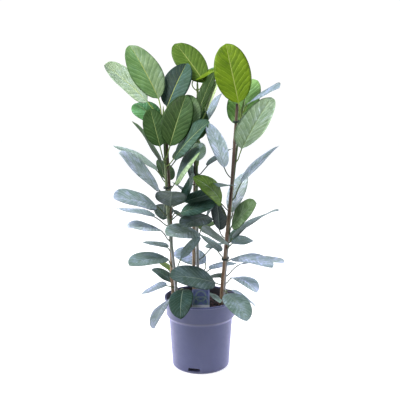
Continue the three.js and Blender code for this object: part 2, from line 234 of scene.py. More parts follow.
def times(tree, a, b):
    return calc(tree, "MULTIPLY", a, b)


def tinted(tree, colour, factor):
    return mixColour(tree, 1.0, colour, factor, "MULTIPLY")


# Lays each coat over the colour where its mask is.
def painted(tree, colour, *coats):
    for mask, coat in coats:
        colour = mixColour(tree, mask, colour, coat)
    return colour


def makeGroup(name, inputs, outputs):
    tree = bpy.data.node_groups.new(name, "ShaderNodeTree")
    kinds = {"value": "NodeSocketFloat", "colour": "NodeSocketColor", "vector": "NodeSocketVector"}
    for label, kind in inputs:
        tree.interface.new_socket(label, in_out="INPUT", socket_type=kinds[kind])
    for label, kind in outputs:
        tree.interface.new_socket(label, in_out="OUTPUT", socket_type=kinds[kind])
    return tree, tree.nodes.new("NodeGroupInput").outputs, tree.nodes.new("NodeGroupOutput")


def useGroup(tree, group, inputs):
    node = tree.nodes.new("ShaderNodeGroup")
    node.node_tree = group
    for socket, value in inputs.items():
        put(tree, node, socket, value)
    return node.outputs


def startMaterial(name, roughness=0.5, **settings):
    material = bpy.data.materials.new(name)
    material.use_nodes = True
    tree = material.node_tree
    shader = tree.nodes["Principled BSDF"]
    shader.inputs["Roughness"].default_value = roughness
    for socket, value in settings.items():
        put(tree, shader, socket.replace("_", " "), value)
    return material, tree, shader


def bumpOf(tree, height, strength, distance):
    node = addNode(tree, "ShaderNodeBump", inputs={
        "Height": height, "Strength": strength, "Distance": distance})
    return node.outputs["Normal"]


def finish(tree, shader, colour, roughness, normal=None):
    put(tree, shader, "Base Color", colour)
    put(tree, shader, "Roughness", roughness)
    if normal:
        put(tree, shader, "Normal", normal)


# ---- shared effects

def makeMottleGroup():
    tree, given, result = makeGroup("softMottle", [("Scale", "value"), ("Contrast", "value")],
                                    [("Broad", "value"), ("Fine", "value")])
    place = objectPlace(tree)
    broad = noiseOf(tree, place, given["Scale"], 2)
    fine = noiseOf(tree, place, times(tree, given["Scale"], 9.0), 4, 0.65)
    for label, source in (("Broad", broad), ("Fine", fine)):
        centred = calc(tree, "SUBTRACT", source, 0.5)
        put(tree, result, label, calc(tree, "MULTIPLY_ADD", centred, given["Contrast"], 0.5))
    return tree


def makeFibreGroup():
    tree, given, result = makeGroup("upwardFibres", [("Across", "value"), ("Along", "value")],
                                    [("Fibre", "value"), ("Streak", "value")])
    source = objectPoint(tree)
    parts = splitOf(tree, source)
    along = times(tree, parts[2], given["Along"])
    across = [times(tree, parts[i], given["Across"]) for i in (0, 1)]
    joined = joinOf(tree, across[0], across[1], along)
    put(tree, result, "Fibre", noiseOf(tree, joined, 1.0, 4, 0.6))
    put(tree, result, "Streak", noiseOf(tree, joined, 0.24, 2, 0.5))
    return tree


def makeDustGroup():
    tree, given, result = makeGroup("settledDust", [("Amount", "value")], [("Dust", "value")])
    normal = addNode(tree, "ShaderNodeNewGeometry").outputs["Normal"]
    up = splitOf(tree, normal)[2]
    facing = stepBetween(tree, up, 0.1, 0.9)
    patches = stepBetween(tree, noiseOf(tree, objectPlace(tree), 60.0, 5, 0.7), 0.35, 0.75)
    strength = times(tree, facing, given["Amount"])
    put(tree, result, "Dust", times(tree, strength, patches))
    return tree


# Vein masks of a leaf, read from its own map: along the leaf, then across it.
leafMapStart = -0.25


def makeVeinGroup():
    tree, given, result = makeGroup(
        "leafVeins", [("Pairs", "value")],
        [("Midrib", "value"), ("Lateral", "value"), ("Net", "value"), ("Petiole", "value"),
         ("Margin", "value"), ("Panel", "value"), ("Streak", "value")])
    uv = addNode(tree, "ShaderNodeUVMap", uv_map="leafMap").outputs[0]
    parts = splitOf(tree, uv)
    along = calc(tree, "MULTIPLY_ADD", parts[0], 1 - leafMapStart, leafMapStart)
    across = calc(tree, "MULTIPLY_ADD", parts[1], 2.0, -1.0)
    out = calc(tree, "ABSOLUTE", across)
    taper = calc(tree, "MULTIPLY_ADD", along, -0.024, 0.038)
    midrib = stepBetween(tree, calc(tree, "DIVIDE", out, taper), 0.55, 1.1, 1.0, 0.0)
    put(tree, result, "Midrib", midrib)
    bend = calc(tree, "MULTIPLY_ADD", times(tree, out, out), -0.07, 0.0)
    reach = calc(tree, "MULTIPLY_ADD", out, 0.34, bend)
    side = times(tree, calc(tree, "GREATER_THAN", across, 0.0), 0.45)
    wander = calc(tree, "MULTIPLY_ADD", noiseOf(tree, uv, 7.0, 2), 0.05, -0.025)
    start = calc(tree, "ADD", calc(tree, "SUBTRACT", along, reach), wander)
    phase = calc(tree, "MULTIPLY_ADD", start, given["Pairs"], side)
    cycle = calc(tree, "ABSOLUTE", calc(tree, "SUBTRACT", calc(tree, "FRACT", phase), 0.5))
    line = stepBetween(tree, cycle, 0.02, 0.085, 1.0, 0.0)
    fade = times(tree, stepBetween(tree, out, 0.78, 0.97, 1.0, 0.0),
                stepBetween(tree, along, 0.0, 0.05))
    put(tree, result, "Lateral", times(tree, line, fade))
    put(tree, result, "Panel", calc(tree, "FRACT", calc(tree, "ADD", phase, 0.5)))
    cells = addNode(tree, "ShaderNodeMapping", inputs={"Vector": uv, "Scale": (62, 44, 1)})
    mesh = addNode(tree, "ShaderNodeTexVoronoi", feature="DISTANCE_TO_EDGE",
                   inputs={"Vector": cells.outputs[0], "Scale": 1.0})
    inner = times(tree, stepBetween(tree, along, 0.6, 0.85, 1.0, 0.0),
                 stepBetween(tree, out, 0.7, 0.92, 1.0, 0.0))
    net = stepBetween(tree, mesh.outputs["Distance"], 0.02, 0.14, 1.0, 0.0)
    put(tree, result, "Net", times(tree, net, inner))
    # streaks run with the side veins and differ from leaf to leaf
    home = objectPoint(tree)
    swell = noiseOf(tree, home, 14.0, 1)
    lengthwise = times(tree, start, 16.0)
    sideways = calc(tree, "MULTIPLY_ADD", across, 0.9, times(tree, swell, 4.0))
    put(tree, result, "Streak", noiseOf(tree, joinOf(tree, lengthwise, sideways), 1.0, 3, 0.6))
    put(tree, result, "Petiole", stepBetween(tree, along, -0.015, 0.012, 1.0, 0.0))
    put(tree, result, "Margin", stepBetween(tree, out, 0.955, 0.995))
    return tree


mottleGroup = makeMottleGroup()
fibreGroup = makeFibreGroup()
dustGroup = makeDustGroup()
veinGroup = makeVeinGroup()


# ---- materials

potShape = {
    "wall": 0.002, "lipHeight": 0.006, "lipOver": 0.0022, "collarHeight": 0.051,
    "collarTaper": 0.0033, "stepHeight": 0.010, "wallTop": 0.0915, "baseRadius": 0.082,
    "corner": 0.024, "pad": 0.038, "channel": 0.020, "channelRise": 0.003, "floor": 0.005,
    "slots": 3, "firstSlot": -104, "slotWidth": 0.034, "slotHeight": 0.010, "sides": 144,
}

# the dark soil colour serves as dirt and as painted shade under the collar and on the inner wall
potFinish = {"body": (0.036, 0.043, 0.115), "pale": (0.053, 0.06, 0.15), "scuff": (0.17, 0.18, 0.31),
             "dirtAndShade": (0.026, 0.023, 0.027), "edge": (0.62, 0.6, 1.0)}


def makePotMaterial():
    paint = potFinish
    material, tree, shader = startMaterial("potPlastic", 0.42, Specular_IOR_Level=0.5, Sheen_Weight=1.0,
                                           Sheen_Roughness=0.35, Sheen_Tint=paint["edge"])
    mottle = useGroup(tree, mottleGroup, {"Scale": 9.0, "Contrast": 1.5})
    ring = addNode(tree, "ShaderNodeTexWave", bands_direction="Z", inputs={
        "Vector": objectPlace(tree), "Scale": 55.0, "Distortion": 0.6, "Detail": 2.0}).outputs["Fac"]
    scratch = noiseOf(tree, objectPlace(tree, (420, 420, 30)), 1.0, 5, 0.75)
    height = splitOf(tree, objectPlace(tree))[2]
    low = stepBetween(tree, height, 0.0, 0.02, 0.55, 0.0)
    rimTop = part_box("pot")[1].z
    # painted shade under the collar's lower edge
    under = rimTop - potShape["collarHeight"]
    collarShade = times(tree, stepBetween(tree, height, under - 0.012, under - 0.002, 0.0, 0.6),
                  stepBetween(tree, height, under, under + 0.0012, 1.0, 0.0))
    # soil splashes and painted shade darken the inner wall, which faces the axis, up to just under the rim
    outward = addNode(tree, "ShaderNodeVectorMath", operation="DOT_PRODUCT", inputs={
        0: addNode(tree, "ShaderNodeNewGeometry").outputs["Normal"],
        1: objectPlace(tree, (1, 1, 0))}).outputs["Value"]
    inside = times(tree, stepBetween(tree, outward, -0.03, -0.005, 1.0, 0.0),
                   stepBetween(tree, height, rimTop - 0.006, rimTop - 0.001, 1.0, 0.0))
    splashAndShade = times(tree, inside, stepBetween(tree, mottle["Fine"], 0.1, 0.5, 0.8, 0.98))
    colour = painted(
        tree, paint["body"], (mottle["Broad"], paint["pale"]), (times(tree, ring, 0.05), paint["pale"]),
        (times(tree, stepBetween(tree, scratch, 0.66, 0.74), 0.28), paint["scuff"]),
        # darker in patches towards the bottom, and along the very bottom edge
        (times(tree, low, stepBetween(tree, mottle["Fine"], 0.4, 0.75)), paint["dirtAndShade"]),
        (stepBetween(tree, height, 0.0012, 0.0045, 0.85, 0.0), paint["dirtAndShade"]),
        (collarShade, paint["dirtAndShade"]), (splashAndShade, paint["dirtAndShade"]),
        (useGroup(tree, dustGroup, {"Amount": 0.15})["Dust"], paint["scuff"]))
    finish(tree, shader, colour, stepBetween(tree, mottle["Fine"], 0.2, 0.8, 0.36, 0.52),
           bumpOf(tree, mottle["Fine"], 0.12, 0.0006))
    return material


def makeSoilMaterial(name, dark, light, fleck):
    material, tree, shader = startMaterial(name, 0.95)
    place = objectPlace(tree)
    grain = noiseOf(tree, place, 420.0, 6, 0.75)
    lumps = noiseOf(tree, place, 90.0, 3)
    colour = painted(tree, dark, (stepBetween(tree, lumps, 0.3, 0.7), light),
                     (stepBetween(tree, grain, 0.62, 0.72, 0.0, 0.7), fleck))
    finish(tree, shader, colour, stepBetween(tree, grain, 0.3, 0.7, 0.8, 1.0),
           bumpOf(tree, grain, 0.8, 0.002))
    return material


bambooFinish = {"straw": (0.36, 0.26, 0.17), "brown": (0.14, 0.065, 0.03), "dark": (0.035, 0.02, 0.018),
                "upper": (0.095, 0.06, 0.055), "silver": (0.3, 0.28, 0.28)}


def makeBambooMaterial():
    paint = bambooFinish
    material, tree, shader = startMaterial("bambooCane", 0.5)
    fibre = useGroup(tree, fibreGroup, {"Across": 900.0, "Along": 14.0})
    patches = noiseOf(tree, objectPlace(tree, (60, 60, 14)), 1.0, 3)
    height = splitOf(tree, objectPlace(tree))[2]
    colour = painted(
        tree, paint["straw"], (stepBetween(tree, patches, 0.35, 0.7), paint["brown"]),
        (times(tree, stepBetween(tree, height, 0.3, 0.62), 0.75), paint["upper"]),
        (stepBetween(tree, fibre["Fibre"], 0.5, 0.72, 0.0, 0.5), paint["dark"]),
        (stepBetween(tree, fibre["Streak"], 0.56, 0.7, 0.0, 0.5), paint["silver"]))
    finish(tree, shader, colour, stepBetween(tree, fibre["Fibre"], 0.3, 0.7, 0.38, 0.6),
           bumpOf(tree, fibre["Fibre"], 0.35, 0.0006))
    return material


barkFinish = {"low": (0.32, 0.32, 0.33), "high": (0.17, 0.22, 0.1), "scar": (0.07, 0.068, 0.065),
              "spot": (0.36, 0.32, 0.31), "tip": (0.24, 0.33, 0.1)}


def makeBarkMaterial():
    paint = barkFinish
    material, tree, shader = startMaterial("stemBark", 0.62)
    fibre = useGroup(tree, fibreGroup, {"Across": 620.0, "Along": 40.0})
    mottle = useGroup(tree, mottleGroup, {"Scale": 70.0, "Contrast": 1.6})
    height = splitOf(tree, objectPlace(tree))[2]
    wander = calc(tree, "MULTIPLY_ADD", mottle["Broad"], 0.16, height)
    spots = addNode(tree, "ShaderNodeTexVoronoi", inputs={
        "Vector": objectPlace(tree, (1, 1, 0.45)), "Scale": 420.0}).outputs["Distance"]
    colour = painted(
        tree, paint["low"], (stepBetween(tree, wander, 0.36, 0.62), paint["high"]),
        (stepBetween(tree, wander, 0.74, 0.9), paint["tip"]),
        (stepBetween(tree, fibre["Fibre"], 0.52, 0.7, 0.0, 0.55), paint["scar"]),
        (stepBetween(tree, spots, 0.1, 0.2, 0.6, 0.0), paint["spot"]))
    finish(tree, shader, colour, stepBetween(tree, mottle["Fine"], 0.2, 0.8, 0.5, 0.75),
           bumpOf(tree, fibre["Fibre"], 0.5, 0.0008))
    return material


def makeTieMaterial():
    material, tree, shader = startMaterial("tieStrap", 0.45)
    mottle = useGroup(tree, mottleGroup, {"Scale": 160.0, "Contrast": 1.4})
    colour = painted(tree, (0.012, 0.02, 0.018), (mottle["Broad"], (0.03, 0.045, 0.038)),
                     (useGroup(tree, dustGroup, {"Amount": 0.5})["Dust"], (0.16, 0.16, 0.15)))
    finish(tree, shader, colour, stepBetween(tree, mottle["Fine"], 0.2, 0.8, 0.35, 0.6),
           bumpOf(tree, mottle["Fine"], 0.3, 0.0004))
    return material


# Colours of a kind of leaf; veinLift, the bloom colour (waxy bloom and painted sheen) and the streak colour
# (a painted highlight) multiply the leaf's own tint.
leafPaint = {
    "youngLeaf": {"veinLift": (1.75, 1.6, 2.2), "midrib": (0.4, 0.46, 0.13), "bloomSheen": (1.25, 1.2, 1.9),
                  "bloomSheenShare": 0.35, "rough": (0.42, 0.6), "petiole": (0.3, 0.38, 0.1),
                  "streakHighlight": (1.35, 1.3, 1.6), "gloss": 0.12},
    "greenLeaf": {"veinLift": (2.2, 1.9, 2.4), "midrib": (0.3, 0.38, 0.14), "bloomSheen": (1.5, 1.35, 2.0),
                  "bloomSheenShare": 0.4, "rough": (0.42, 0.6), "petiole": (0.24, 0.32, 0.09),
                  "streakHighlight": (1.7, 1.6, 2.1), "gloss": 0.1},
    "maturedLeaf": {"veinLift": (2.0, 1.75, 1.9), "midrib": (0.21, 0.27, 0.21), "bloomSheen": (1.9, 1.7, 2.4),
                    "bloomSheenShare": 0.5, "rough": (0.4, 0.6), "petiole": (0.11, 0.14, 0.07),
                    "streakHighlight": (1.55, 1.5, 1.7), "gloss": 0.14},
}
veinPairs, veinShare = 10, 0.6
leafShadows = {"patch": (0.55, 0.64, 0.58), "panel": (0.5, 0.58, 0.54), "streak": (0.45, 0.52, 0.5)}


def makeLeafMaterial(name):
    paint = leafPaint[name]
    material, tree, shader = startMaterial(name, 0.42, Specular_IOR_Level=paint["gloss"])
    veins = useGroup(tree, veinGroup, {"Pairs": veinPairs})
    tint = addNode(tree, "ShaderNodeAttribute", attribute_name="leafTint").outputs["Color"]
    mottle = useGroup(tree, mottleGroup, {"Scale": 24.0, "Contrast": 2.2})
    # bluish patches of waxy bloom with painted sheen over the leaf's tint
    haze = noiseOf(tree, objectPlace(tree, (1, 1, 1), (3, 1, 2)), 34.0, 4, 0.6)
    colour = painted(tree, tinted(tree, tint, leafShadows["patch"]), (mottle["Broad"], tint),
                     (times(tree, stepBetween(tree, haze, 0.42, 0.72), paint["bloomSheenShare"]),
                      tinted(tree, tint, paint["bloomSheen"])))
    # painted shade on each panel between side veins, darker towards one edge, then painted highlights and
    # painted shade along the streaks
    panelShade = times(tree, stepBetween(tree, veins["Panel"], 0.0, 1.0, 1.0, 0.0), 0.42)
    for mask, factor in ((panelShade, leafShadows["panel"]),
                         (stepBetween(tree, veins["Streak"], 0.5, 0.72, 0.0, 0.75), paint["streakHighlight"]),
                         (stepBetween(tree, veins["Streak"], 0.26, 0.48, 0.7, 0.0), leafShadows["streak"])):
        colour = mixColour(tree, mask, colour, tinted(tree, colour, factor))
    lifted = mixColour(tree, 0.15, tinted(tree, colour, paint["veinLift"]), paint["midrib"])
    colour = painted(tree, colour, (times(tree, veins["Net"], 0.14), lifted),
                     (times(tree, veins["Lateral"], veinShare), lifted),
                     (times(tree, veins["Midrib"], 0.85), paint["midrib"]),
                     (times(tree, veins["Margin"], 0.25), lifted), (veins["Petiole"], paint["petiole"]))
    ridges = calc(tree, "MULTIPLY_ADD", veins["Net"], 0.03, times(tree, veins["Lateral"], -0.6))
    grain = calc(tree, "MULTIPLY_ADD", mottle["Fine"], 0.06, ridges)
    finish(tree, shader, colour, stepBetween(tree, mottle["Fine"], 0.2, 0.8, *paint["rough"]),
           bumpOf(tree, grain, 0.5, 0.0008))
    return material


labelFinish = {"face": (0.125, 0.155, 0.37), "deep": (0.065, 0.09, 0.23), "line": (0.2, 0.27, 0.26),
               "leafShape": (0.09, 0.16, 0.2), "frame": (0.25, 0.27, 0.48), "band": (0.62, 0.64, 0.72)}


# place, radius and thickness of the printed rings, as shares of the label's width and face height
labelRings = [((0.02, 0.12), 0.26, 0.05, "line"), ((0.3, -0.1), 0.2, 0.06, "leafShape"),
              ((0.1, -0.22), 0.3, 0.04, "line")]


def makeLabelMaterial(centre, size):
    paint = labelFinish
    material, tree, shader = startMaterial("labelPrint", 0.35)
    parts = splitOf(tree, objectPoint(tree))
    sideways = times(tree, calc(tree, "SUBTRACT", parts[0], centre.x), 1 / size.x)
    across = calc(tree, "ABSOLUTE", sideways)
    up = times(tree, calc(tree, "SUBTRACT", parts[2], centre.z), 1 / size.z)
    flat = joinOf(tree, across, up)
    blur = noiseOf(tree, flat, 5.0, 3)
    colour = painted(tree, paint["face"], (stepBetween(tree, blur, 0.35, 0.65), paint["deep"]))
    # the print is mirrored about the label's middle
    for place, radius, thickness, inkName in labelRings:
        reach = addNode(tree, "ShaderNodeVectorMath", operation="DISTANCE",
                        inputs={0: flat, 1: (*place, 0)}).outputs["Value"]
        off = calc(tree, "ABSOLUTE", calc(tree, "SUBTRACT", reach, radius))
        drawn = stepBetween(tree, off, thickness * 0.5, thickness, 0.8, 0.0)
        colour = mixColour(tree, drawn, colour, paint[inkName])
    edge = calc(tree, "MAXIMUM", across, calc(tree, "ABSOLUTE", up))
    colour = painted(tree, colour, (stepBetween(tree, edge, 0.42, 0.44, 0.0, 0.7), paint["frame"]),
                     (stepBetween(tree, up, -0.37, -0.33, 0.85, 0.0), paint["band"]),
                     (useGroup(tree, dustGroup, {"Amount": 0.6})["Dust"], (0.3, 0.28, 0.26)))
    mottle = useGroup(tree, mottleGroup, {"Scale": 120.0, "Contrast": 1.0})
    finish(tree, shader, colour, stepBetween(tree, mottle["Fine"], 0.2, 0.8, 0.3, 0.5))
    return material


leafMaterials = {name: makeLeafMaterial(name) for name in leafPaint}
potMaterial = makePotMaterial()
bambooMaterial = makeBambooMaterial()
barkMaterial = makeBarkMaterial()
tieMaterial = makeTieMaterial()
peatMaterial = makeSoilMaterial("moistPeat", (0.024, 0.019, 0.024), (0.06, 0.045, 0.05),
                                (0.16, 0.125, 0.125))
chipMaterial = makeSoilMaterial("barkChips", (0.06, 0.03, 0.035), (0.15, 0.075, 0.075), (0.34, 0.25, 0.24))
print("materials made")


# ---- pot: a turned shell with a rolled lip, a stacking step and drain slots

def roundedProfile(corners):
    # each corner is (radius, height, rounding); rounded corners become short arcs
    points = []
    for i, (x, z, rounding) in enumerate(corners):
        here = Vector((x, z))
        if rounding == 0 or i in (0, len(corners) - 1):
            points.append(here)
            continue
        before = Vector(corners[i - 1][:2]) - here
        after = Vector(corners[i + 1][:2]) - here
        reach = min(rounding, before.length * 0.45, after.length * 0.45)
        a, b = here + before.normalized() * reach, here + after.normalized() * reach
        steps = 6 if rounding > 0.004 else 3
        for k in range(steps + 1):
            t = k / steps
            points.append(a * (1 - t) ** 2 + here * 2 * t * (1 - t) + b * t ** 2)
    return points


def makePot():
    s = potShape
    low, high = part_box("pot")
    rim, top = high.x, high.z
    lip = top - s["lipHeight"]
    under = top - s["collarHeight"]
    collarTop = rim - s["lipOver"]
    collarLow = collarTop - s["collarTaper"]
    foot = s["pad"] + s["channel"] + 2 * s["channelRise"]
    wall = s["wall"]
    corners = [
        (0, 0, 0), (s["pad"], 0, 0.001), (s["pad"] + s["channelRise"], s["channelRise"], 0.001),
        (s["pad"] + s["channelRise"] + s["channel"], s["channelRise"], 0.001), (foot, 0, 0.001),
        (s["baseRadius"], 0, s["corner"]), (s["wallTop"], under - s["stepHeight"], 0.003),
        (collarLow, under, 0.0015), (collarTop, lip - 0.0005, 0.0008), (rim, lip + 0.0005, 0.0008),
        (rim, top, 0.0012), (collarTop - wall, top, 0.0012), (collarLow - wall, under + 0.001, 0.002),
        (s["wallTop"] - wall, under - s["stepHeight"] + 0.001, 0.003),
        (s["baseRadius"] - wall, s["floor"], s["corner"] - wall), (0, s["floor"], 0),
    ]
    outline = roundedProfile(corners)
    edges = [(i, i + 1) for i in range(len(outline) - 1)]
    pot = meshFrom("pot_shell", [(p.x, 0, p.y) for p in outline], edges=edges)
    with editing(pot):
        bpy.ops.mesh.spin(steps=s["sides"], angle=2 * math.pi, center=(0, 0, 0), axis=(0, 0, 1))
        bpy.ops.mesh.select_all(action="SELECT")
        bpy.ops.mesh.remove_doubles(threshold=mergeReach)
    for i in range(s["slots"]):
        angle = math.radians(s["firstSlot"] + 360 * i / s["slots"])
        deselectAll()
        reach = s["baseRadius"] - s["corner"] / 4
        bpy.ops.mesh.primitive_cube_add(
            size=1, location=(math.cos(angle) * reach, math.sin(angle) * reach,
                              s["floor"] + 0.003 + s["slotHeight"] / 2),
            rotation=(0, 0, angle), scale=(s["corner"], s["slotWidth"], s["slotHeight"]))
        cutter = bpy.context.active_object
        applyPlace(cutter)
        bevel = cutter.modifiers.new("roundEnds", "BEVEL")
        bevel.width, bevel.segments = 0.002, 3
        applyModifiers(cutter)
        cut = pot.modifiers.new("drain", "BOOLEAN")
        cut.operation, cut.solver, cut.object = "DIFFERENCE", "EXACT", cutter
        applyModifiers(pot)
        discard(cutter)
    smoothShade(pot, 35)
    return dress(pot, "pot_shell", "pot_plastic", potMaterial, "pot")


makePot()
print("pot turned")


# ---- canes and stems: swept through the centres of their CAD rings

def ringsOf(nodeName):
    # centre and radius of each level ring of a rod, lowest first
    heights = {}
    for vertex in mergedRods[nodeName]:
        heights.setdefault(round(vertex.z, 4), []).append(vertex)
    rings = []
    for z in sorted(heights):
        ring = heights[z]
        if len(ring) < 8:
            continue
        centre = sum(ring, Vector()) / len(ring)
        radius = max((v - centre).length for v in ring)
        rings.append((Vector((centre.x, centre.y, z)), radius))
    return rings


def rodVertices(nodeName):
    seen = {}
    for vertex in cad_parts[nodeName].data.vertices:
        key = tuple(round(c, 5) for c in vertex.co)
        seen[key] = vertex.co.copy()
    return list(seen.values())


shootSides = ("left", "middle", "right")
soilEdgeDrop = 0.004
mergedRods = {name: rodVertices(name)
              for side in shootSides for name in (f"cane_{side}", f"stem_{side}")}
caneRings = {side: ringsOf(f"cane_{side}") for side in shootSides}
stemRings = {side: ringsOf(f"stem_{side}") for side in shootSides}


def centreAt(rings, z):
    heights = [centre.z for centre, _ in rings]
    centres = [centre for centre, _ in rings]
    if z <= heights[0]:
        return centres[0].copy()
    return throughKnots(heights, centres, min(z, heights[-1]))


def radiusAt(rings, z):
    return float(np.interp(z, [c.z for c, _ in rings], [r for _, r in rings]))


def sweepRod(name, stations, sides):
    # stations are (centre, radius); the first ring is extruded up through the rest
    deselectAll()
    centre, radius = stations[0]
    bpy.ops.mesh.primitive_circle_add(vertices=sides, radius=radius, fill_type="NGON",
                                      location=centre)
    rod = bpy.context.active_object
    applyPlace(rod)
    with editing(rod):
        for (here, was), (there, now) in zip(stations, stations[1:]):
            bpy.ops.mesh.extrude_region_move(TRANSFORM_OT_translate={"value": there - here})
            share = now / was
            bpy.ops.transform.resize(value=(share, share, share), center_override=there)
    rod.name = name
    return rod


caneShape = {"nodeSpacing": 0.132, "firstNode": 0.6, "sides": 20, "step": 0.02, "hollow": 0.45,
             "nodeRoom": 0.011, "hollowDepth": 0.010}
# the swell of the wall at a height above a node
nodeSwell = {-0.009: 0.0, -0.004: 0.00015, -0.0016: 0.0009, -0.0004: 0.0010, 0.0004: 0.0002,
             0.0012: -0.0002, 0.0022: 0.0006, 0.005: 0.0001, 0.010: 0.0}


def makeCane(side):
    rings = caneRings[side]
    foot, top = rings[0][0].z, rings[-1][0].z
    joints = []
    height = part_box("soil")[1].z - soilEdgeDrop + caneShape["nodeSpacing"] * caneShape["firstNode"]
    while height < top - 0.02:
        joints.append(height)
        height += caneShape["nodeSpacing"]
    stations = []
    for z in np.arange(foot, top, caneShape["step"]):
        if all(abs(z - joint) > caneShape["nodeRoom"] for joint in joints):
            stations.append((float(z), 0.0))
    for joint in joints:
        stations += [(joint + above, swell) for above, swell in nodeSwell.items()]
    stations.append((top, 0.0))
    stations.sort()
    body = [(centreAt(rings, z), radiusAt([rings[0], rings[-1]], z) + swell) for z, swell in stations]
    last, radius = body[-1]
    body.append((last - Vector((0, 0, 0.0002)), radius * caneShape["hollow"]))
    body.append((last - Vector((0, 0, caneShape["hollowDepth"])), radius * caneShape["hollow"] * 0.9))
    cane = sweepRod(f"cane_{side}_bamboo", body, caneShape["sides"])
    smoothShade(cane, 50)
    return dress(cane, f"cane_{side}_bamboo", "bamboo", bambooMaterial, f"cane_{side}")


stemShape = {"sides": 18, "step": 0.006, "ripple": 0.00028, "collarSwell": 0.0011}


def makeStem(side, feet):
    rings = stemRings[side]
    foot, top = rings[0][0].z, rings[-1][0].z
    stations = []
    seed = 3.1 * shootSides.index(side)
    for z in np.arange(foot, top, stemShape["step"]):
        z = float(z)
        swell = stemShape["ripple"] * noise.noise(Vector((seed, 0.3, z * 90)))
        for height in feet:
            swell += stemShape["collarSwell"] * 0.55 * math.exp(-((z - height) / 0.0045) ** 2)
        stations.append((centreAt(rings, z), radiusAt(rings, z) * 0.985 + swell))
    stations.append((rings[-1][0], rings[-1][1]))
    stem = sweepRod(f"stem_{side}_bark", stations, stemShape["sides"])
    smoothShade(stem, 60)
    return dress(stem, f"stem_{side}_bark", "stem_bark", barkMaterial, f"stem_{side}")


# ---- leaves: one master blade and petiole, bent onto each leaf's own line

leafShape = {
    "around": 40, "petioleRings": 11, "bladeRings": 64, "thickness": 0.00062, "petioleRadius": 0.0016,
    "keel": 0.0013, "keelWidth": 0.0019, "groove": 0.0006, "pucker": 0.00055, "wave": 0.0018,
    "crowding": 1.5, "usualLength": 0.15, "tipDrop": 0.002,
}
petioleCadRings, widestRing = 4, 2
flatFold = 0.12
petioleKnots = [0, 0.3, 0.62, 1]
bladeKnots = [0.0, 0.03, 0.14, 0.34, 0.58, 0.8, 0.94, 0.985, 1.0]
bladeWidths = [0.06, 0.3, 0.7, 0.98, 1.0, 0.78, 0.42, 0.17, 0.02]
pathKnots = [0.0, 0.03, 0.14, 0.34, 0.58, 0.8, 0.94, 1.0]
sideKnots = pathKnots[1:-1]


def makeMasterLeaf():
    # a round rod of rings; each ring's place in the list is later read as along the leaf
    s = leafShape
    rings = s["petioleRings"] + s["bladeRings"]
    deselectAll()
    bpy.ops.mesh.primitive_circle_add(vertices=s["around"], radius=1, fill_type="NGON")
    master = bpy.context.active_object
    with editing(master):
        for _ in range(rings - 1):
            bpy.ops.mesh.extrude_region_move(TRANSFORM_OT_translate={"value": (0, 0, 1)})
    master.name = "masterLeaf"
    return master


# Ring number and place around, for each vertex of the master.
def masterPlaces(master):
    places = []
    count = leafShape["around"]
    for vertex in master.data.vertices:
        angle = math.atan2(vertex.co.y, vertex.co.x) % (2 * math.pi)
        places.append((round(vertex.co.z), round(angle / (2 * math.pi) * count) % count))
    return places


# For each face corner of the master, its vertex and whether the face is on the upper side.
def masterCorners(master):
    return [(vertex, face.center.y > 0) for face in master.data.polygons for vertex in face.vertices]


# The line of a CAD leaf: ring centres from foot to tip, and its left edge direction.
def leafLine(nodeName):
    piece = mergedCopy(nodeName)
    model = bmesh.new()
    model.from_mesh(piece.data)
    model.verts.ensure_lookup_table()
    poles = [v for v in model.verts if len(v.link_edges) == 8 and
             sum(len(e.other_vert(v).link_edges) for e in v.link_edges) <= 48]

    def spread(pole):
        return max((e.other_vert(pole).co - pole.co).length for e in pole.link_edges)

    poles.sort(key=spread)
    foot = poles[0]
    seen, ring, rings = {foot}, [foot], []
    while True:
        following = {e.other_vert(v) for v in ring for e in v.link_edges} - seen
        if not following:
            break
        seen |= following
        ring = list(following)
        rings.append(ring)
    centres, sides, halves, ups = [], [], [], []
    for i, ring in enumerate(rings[:-1]):
        points = [v.co.copy() for v in ring]
        if i < petioleCadRings:
            centres.append(sum(points, Vector()) / len(points))
            continue
        pairs = [(a, b) for a in points for b in points]
        a, b = max(pairs, key=lambda pair: (pair[0] - pair[1]).length)
        across = (a - b).normalized()
        middle = (a + b) / 2
        inner = [p for p in points if abs((p - middle).dot(across)) < 0.15 * (a - b).length]

        def offLine(p):
            return (p - middle - across * (p - middle).dot(across)).length

        keel = max(inner, key=offLine)
        upper = min(inner, key=offLine)
        up = (upper - keel).normalized()
        centres.append(upper - up * 0.0006)
        sides.append(across)
        ups.append(up)
        halves.append((a - b).length / 2)
    tip = rings[-1][0].co.copy()
    centres.append(tip)
    widest = petioleCadRings + widestRing
    heading = (centres[widest] - centres[petioleCadRings]).normalized()
    for i, up in enumerate(ups):
        if heading.cross(sides[i]).dot(up) < 0:
            sides[i] = -sides[i]
    half = max(halves)
    fold = foldOf(rings[widest], sides[widestRing], ups[widestRing], centres[widest], halves[widestRing])
    model.free()
    discard(piece)
    return {"petiole": centres[:petioleCadRings], "blade": centres[petioleCadRings - 1:],
            "side": sides[widestRing], "half": half, "fold": fold, "sides": sides}


def foldOf(ring, side, up, centre, half):
    lifts = [(v.co - centre).dot(up) for v in ring if abs((v.co - centre).dot(side)) > 0.9 * half]
    return (sum(lifts) / len(lifts)) / half if lifts else flatFold


def direction(heading, rise):
    h, r = math.radians(heading), math.radians(rise)
    return Vector((math.cos(r) * math.cos(h), math.cos(r) * math.sin(h), math.sin(r)))


